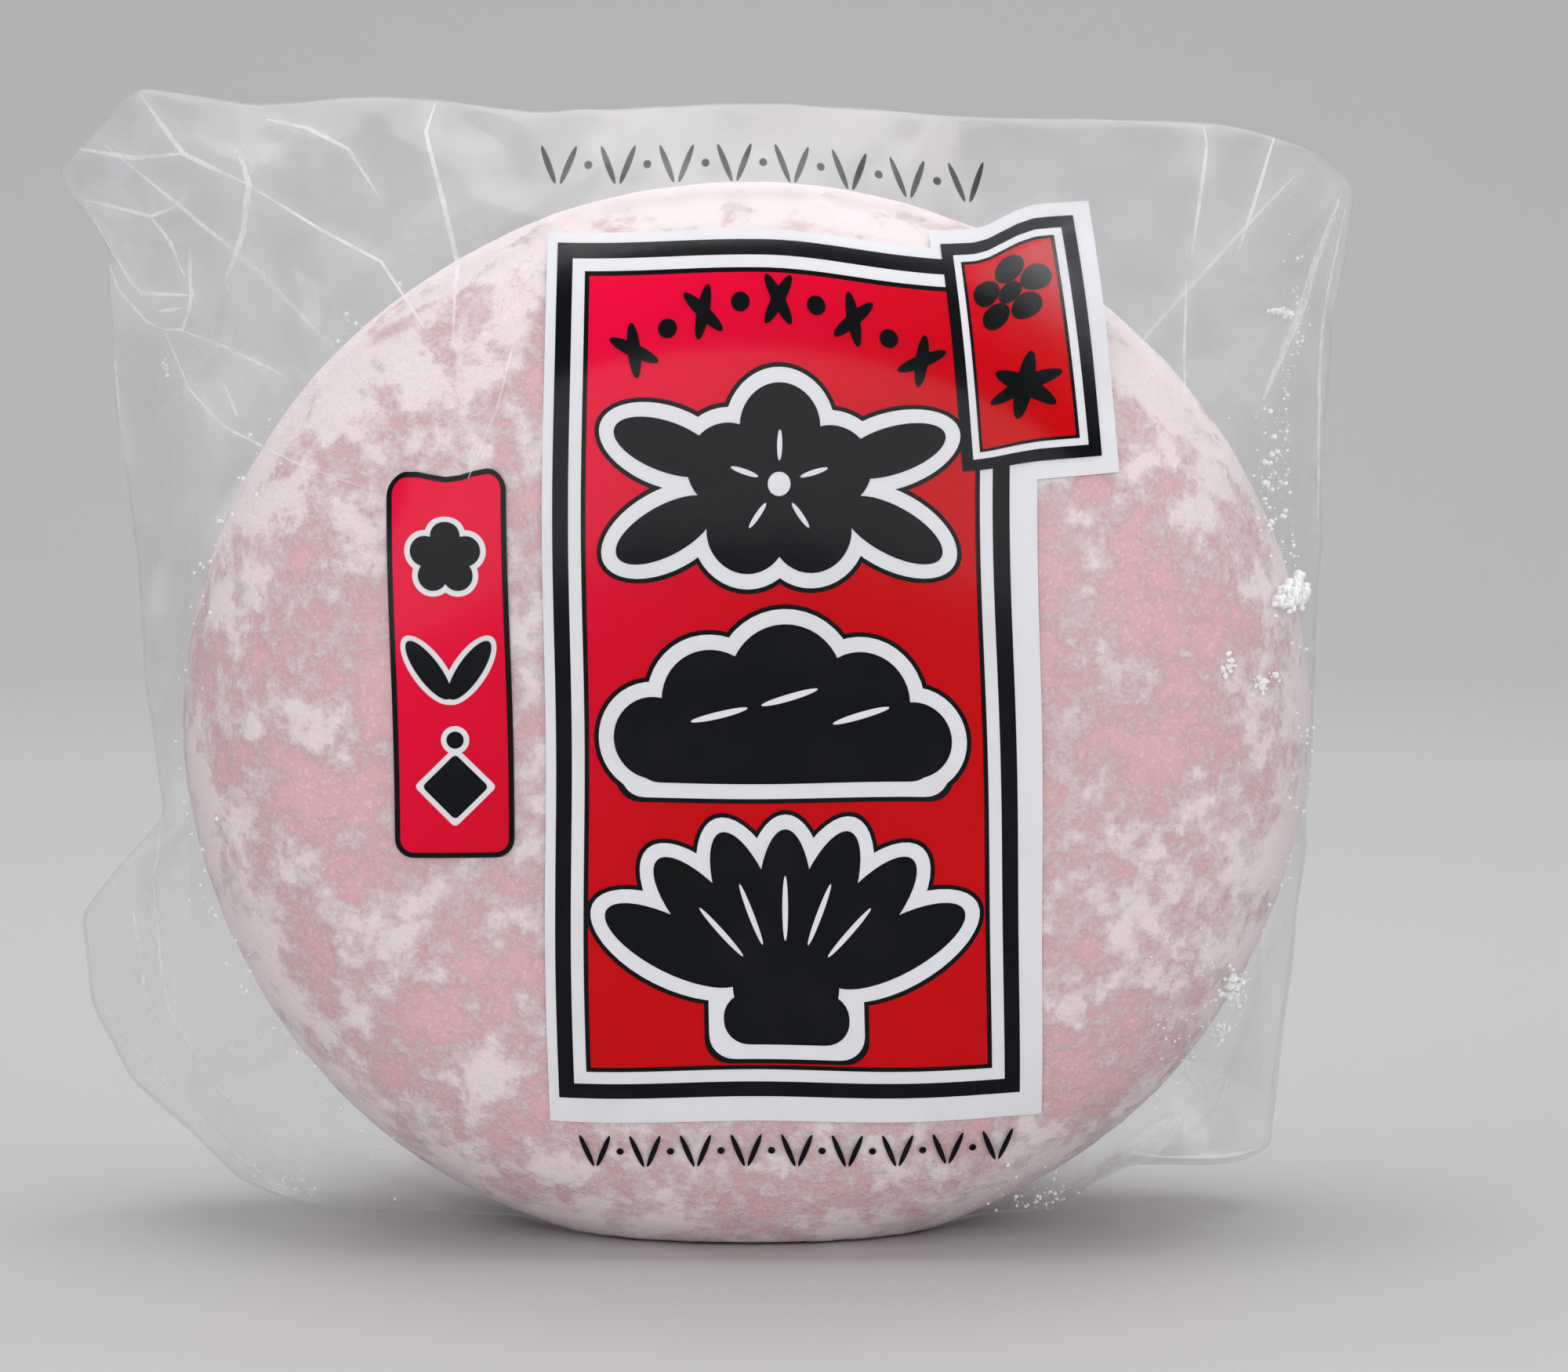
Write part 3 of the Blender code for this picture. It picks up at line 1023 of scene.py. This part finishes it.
def border_marks(start, end, height, size):
    """A running border of slanting leaves and beads."""
    marks = []
    last = 3 * round((end - start) / (2.85 * size)) + 1
    for i in range(last + 1):
        x = start + (end - start) * i / last
        if i % 3 == 2:
            marks.append(dot(x, height, 0.2 * size))
        else:
            marks.append(petal(x, height, 1.0 * size, 0.15 * size, 1.2 if i % 3 else -1.2))
    return marks


def side_tag(inset):
    return box(SIDE_TAG, inset, SIDE_TAG_LEAN, SIDE_TAG_ROUND - inset)


def side_tag_marks():
    marks = blossom(-16.2, 45.6, 1.35, 0.95)
    marks += [petal(-17.4, 38.6, 2.2, 0.75, 2.2), petal(-14.8, 38.6, 2.2, 0.75, 0.95)]
    marks += [("box", -15.8, 31.2, 1.5, 1.5, math.pi / 4, 0.3), dot(-15.8, 34.2, 0.55)]
    return marks


def corner_tag_marks():
    marks = blossom(20.1, 62.6, 1.5, 0.85)
    marks += [petal(20.8, 56.4, 2.1, 0.5, turn) for turn in (0.35, 1.4, 2.45)]
    return marks


def stamp(shape):
    """A tall prism with the shape's outline, made at its size and place, pointing at the front."""
    kind, x, z, half_width, half_height, turn, rounding = shape
    if kind == "box":
        bpy.ops.mesh.primitive_cube_add(size=2.0)
    else:
        sides = 40 if half_width > 1.2 else 20
        bpy.ops.mesh.primitive_cylinder_add(vertices=sides, rotation=(math.pi / 2, 0, 0))
    prism = named("stamp")
    set_place(prism)
    prism.scale = (half_width, 4.0, half_height)
    set_place(prism)
    if rounding:
        round_corners(prism, rounding)
    prism.rotation_euler = (0, -turn, 0)
    prism.location = (x, 0, z)
    set_place(prism)
    return prism


def along_depth(edge):
    run = edge.verts[1].co - edge.verts[0].co
    return abs(run.y) > 0.9 * run.length


def round_corners(prism, radius):
    in_edit_mode(
        prism,
        lambda: select_edges(prism, along_depth),
        lambda: bpy.ops.mesh.bevel(offset=radius, segments=6, affect="EDGES"),
    )


def tag_wave(x, z):
    """The side tag's upper edge dips in the middle and stands highest at the right."""
    middle, height, tag_width, tag_height = SIDE_TAG
    across = (x - middle) / (tag_width / 2)
    if abs(across) > 1.3:
        return 0.0
    top = height + tag_height / 2
    return (0.12 * across - 0.22 * math.cos(4.8 * across)) * smooth_step(top - 4.0, top - 1.0, z)


def warped(place):
    """Where the film's pull has set the print: it narrows and droops at the upper right."""
    x, z = place.x, place.z
    right = smooth_step(-9.0, 20.0, x)
    lean = 1.0 * right * smooth_step(11.0, 52.0, z) * (1 - smooth_step(19.0, 25.0, x))
    droop = 1.3 * smooth_step(4.0, 20.0, x) * smooth_step(45.0, 66.0, z)
    droop *= 1 - smooth_step(18.0, 22.0, x)
    wave = 0.12 * math.sin(x / 3.1 + 0.6) * math.sin(z / 8.0) + tag_wave(x, z)
    return Vector((x - lean + 0.08 * math.sin(z / 4.3), place.y, z - droop + wave))


def footprint(shapes):
    """Bounds of the shapes in whole cells of the print's grid: low X, low Z, high X, high Z."""
    low_x, low_z, high_x, high_z = [], [], [], []
    for _, x, z, a, b, turn, _ in shapes:
        wide = abs(a * math.cos(turn)) + abs(b * math.sin(turn))
        tall = abs(a * math.sin(turn)) + abs(b * math.cos(turn))
        low_x.append(math.floor((x - wide) / PRINT_CELL) - 1)
        low_z.append(math.floor((z - tall) / PRINT_CELL) - 1)
        high_x.append(math.ceil((x + wide) / PRINT_CELL) + 1)
        high_z.append(math.ceil((z + tall) / PRINT_CELL) + 1)
    return min(low_x), min(low_z), max(high_x), max(high_z)


def printed(name, shapes, layer, film):
    """One layer of ink: a fine sheet cut to the shapes and laid against the inside of the film."""
    low_x, low_z, high_x, high_z = footprint(shapes)
    bpy.ops.mesh.primitive_grid_add(
        x_subdivisions=high_x - low_x,
        y_subdivisions=high_z - low_z,
        size=2.0,
        rotation=(math.pi / 2, 0, 0),
    )
    sheet = named(name)
    set_place(sheet)
    sheet.scale = (PRINT_CELL * (high_x - low_x) / 2, 1, PRINT_CELL * (high_z - low_z) / 2)
    sheet.location = (PRINT_CELL * (high_x + low_x) / 2, 0, PRINT_CELL * (high_z + low_z) / 2)
    set_place(sheet)
    finish_with(sheet, "SOLIDIFY", thickness=1.0, offset=0.0)
    stamps = joined("stamps", [stamp(shape) for shape in shapes])
    overlap = len(shapes) > 1
    finish_with(sheet, "BOOLEAN", operation="INTERSECT", solver="EXACT", use_self=overlap, object=stamps)
    bpy.data.objects.remove(stamps)
    keep_front(sheet)
    for vertex in sheet.data.vertices:
        place = warped(vertex.co)
        vertex.co = Vector((place.x * MM, WRAP_LOW.y - 5 * MM, place.z * MM))
    finish_with(
        sheet, "SHRINKWRAP", target=film, wrap_method="PROJECT", use_project_y=True, offset=0.0
    )
    for vertex in sheet.data.vertices:
        vertex.co.y += PLY * (12 - layer)
    return sheet


def keep_front(sheet):
    """Only the faces towards the front stay of a cut slab."""
    mesh = bmesh.new()
    mesh.from_mesh(sheet.data)
    others = [face for face in mesh.faces if face.normal.y > -0.9]
    bmesh.ops.delete(mesh, geom=others, context="FACES")
    loose = [vertex for vertex in mesh.verts if not vertex.link_faces]
    bmesh.ops.delete(mesh, geom=loose, context="VERTS")
    mesh.to_mesh(sheet.data)
    mesh.free()


def make_print(film):
    """Every layer of ink, from the white ground next to the cake up to the film."""
    frame_in = FRAME_BAND
    ring_in = FRAME_BAND + RING_BAND
    line_in = ring_in + LINE_BAND
    emblems = blossom_emblem() + cloud_emblem() + fan_emblem()
    corner = [box(CORNER_TAG, inset, CORNER_TAG_LEAN) for inset in (0.0, *CORNER_BANDS)]
    corner_ground = box(CORNER_TAG_GROUND, 0, CORNER_TAG_LEAN)
    borders = border_marks(-10.2, 18.4, 70.4, 1.35) + border_marks(-7.8, 19.2, 7.4, 1.2)
    layers = [
        ("ink_white_ground", "ink_white", [box(PANEL_GROUND), corner_ground]),
        ("ink_black_frame", "ink_black", [box(PANEL), side_tag(0.0)]),
        ("ink_white_ring", "ink_white", [box(PANEL, frame_in)]),
        ("ink_black_line", "ink_black", [box(PANEL, ring_in)]),
        ("ink_red_fields", "ink_red", [box(PANEL, line_in), side_tag(SIDE_TAG_BAND)]),
        ("ink_black_outlines", "ink_black", [*grown(emblems, EMBLEM_BLACK), corner[0]]),
        (
            "ink_white_outlines",
            "ink_white",
            [*grown(emblems, EMBLEM_WHITE), corner[1], *grown(side_tag_marks(), MARK_WHITE)],
        ),
        (
            "ink_black_emblems",
            "ink_black",
            [*emblems, corner[2], *side_tag_marks(), *arc_marks(), *borders],
        ),
        ("ink_red_corner_tag", "ink_red", [corner[3]]),
        ("ink_black_corner_marks", "ink_black", corner_tag_marks()),
        ("ink_white_details", "ink_white", emblem_details()),
    ]
    inks = {"ink_white": white_ink(), "ink_black": black_ink(), "ink_red": red_ink()}
    sheets = []
    for layer, (name, ink, shapes) in enumerate(layers):
        sheets.append(printed(name, shapes, layer, film))
        add_to_object(sheets[-1], inks[ink], ink)
    return sheets


# ------------------------------------------------------------------------------------------ stage


PAPER_COLOUR = (0.73, 0.73, 0.73, 1)
STAGE_SIZE = (3.0, 1.6)
STAGE_MIDDLE_Y = -0.28
WALL_HEIGHT = 1.4
WALL_CURVE = 0.16
BEHIND_CAKE = 0.2  # of the flat paper's corners, only the two at the back lie further back than this

SKY_COLOUR = (0.80, 0.82, 0.84, 1)
SKY_STRENGTH = 0.22
# Each light's place, its width and height, and its power in watts.
SOFTBOXES = {
    "softbox_above": ((0.0, 0.06, 0.62), (0.7, 0.40), 2.4),
    "softbox_left": ((-0.62, -0.25, 0.45), (0.6, 0.6), 0.8),
    "softbox_right": ((0.62, -0.25, 0.45), (0.6, 0.6), 0.7),
    "fill_in_front": ((0.0, -0.80, 0.22), (0.9, 0.4), 3.9),
}


def at_back(edge):
    return all(vertex.co.y > BEHIND_CAKE for vertex in edge.verts)


def at_wall_foot(edge):
    return at_back(edge) and all(vertex.co.z < WALL_HEIGHT / 2 for vertex in edge.verts)


def make_stage():
    """A sheet of plain paper that curves up behind the cake."""
    bpy.ops.mesh.primitive_plane_add(size=1.0, location=(0, 0, 0))
    sweep = named("sweep")
    sweep.scale = (*STAGE_SIZE, 1)
    sweep.location = (0, STAGE_MIDDLE_Y, 0)
    set_place(sweep)
    rise = {"value": (0, 0, WALL_HEIGHT)}
    in_edit_mode(
        sweep,
        lambda: select_edges(sweep, at_back),
        lambda: bpy.ops.mesh.extrude_region_move(TRANSFORM_OT_translate=rise),
        lambda: select_edges(sweep, at_wall_foot),
        lambda: bpy.ops.mesh.bevel(offset=WALL_CURVE, segments=24, affect="EDGES"),
    )
    sweep.data.shade_smooth()
    sweep.data.materials.append(stage_finish())


def add_light(name, place, size, power):
    """A rectangular light that faces the cake."""
    data = bpy.data.lights.new(name, "AREA")
    data.shape = "RECTANGLE"
    data.size, data.size_y = size
    data.energy = power
    light = bpy.data.objects.new(name, data)
    light.location = place
    light.rotation_euler = (CAKE_CENTRE - Vector(place)).to_track_quat("-Z", "Y").to_euler()
    bpy.context.scene.collection.objects.link(light)
    return light


def light_scene(pieces):
    """Soft light from above and the sides, with a fill that lights the pieces and not the paper."""
    world = bpy.data.worlds.new("studio")
    world.use_nodes = True
    sky = world.node_tree.nodes["Background"]
    sky.inputs[0].default_value = SKY_COLOUR
    sky.inputs[1].default_value = SKY_STRENGTH
    bpy.context.scene.world = world
    lights = {name: add_light(name, *settings) for name, settings in SOFTBOXES.items()}
    lit = bpy.data.collections.new("lit_by_the_fill")
    for piece in pieces:
        lit.objects.link(piece)
    lights["fill_in_front"].light_linking.receiver_collection = lit
    bpy.context.scene.view_settings.view_transform = "Standard"


# The camera looks slightly down on the printed front.
VIEW_DISTANCE = 0.220
VIEW_ELEVATION = math.radians(6.0)
VIEW_WIDTH = 0.1044  # what the frame's width takes in at the cake's middle
VIEW_TARGET = Vector((4.96 * MM, 0.0, 36.2 * MM))
SENSOR_WIDTH = 36.0


def make_camera():
    data = bpy.data.cameras.new("camera")
    data.sensor_width = SENSOR_WIDTH
    data.lens = SENSOR_WIDTH * VIEW_DISTANCE / VIEW_WIDTH
    data.clip_start = 0.01
    camera = bpy.data.objects.new("camera", data)
    back = Vector((0.0, -math.cos(VIEW_ELEVATION), math.sin(VIEW_ELEVATION)))
    camera.location = VIEW_TARGET + back * VIEW_DISTANCE
    camera.rotation_euler = (-back).to_track_quat("-Z", "Y").to_euler()
    bpy.context.scene.collection.objects.link(camera)
    bpy.context.scene.camera = camera


# ------------------------------------------------------------------------------------------- main


def main():
    make_camera()
    cake = make_cake()
    film = make_film(cake)
    add_to_object(cake, mochi_finish(), "mochi")
    seam = make_seam(film)
    flaps = [make_flap("film_flap_left", -1, film), make_flap("film_flap_right", 1, film)]
    prints = make_print(film)
    grains = make_starch(film, cake)
    add_to_object(grains, starch_finish(), "starch")
    # White ribbons on the folds: painted highlights, partly film whitened there.
    creases = make_fold_whitening_and_highlights(film)
    add_to_object(creases, fold_whitening_and_highlight_finish(), "film")
    clear_film = film_finish()
    for piece in (film, seam, *flaps):
        add_to_object(piece, clear_film, "film")
    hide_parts(WRAP)
    make_stage()
    light_scene([cake, film, creases, seam, *flaps, *prints, grains])


main()
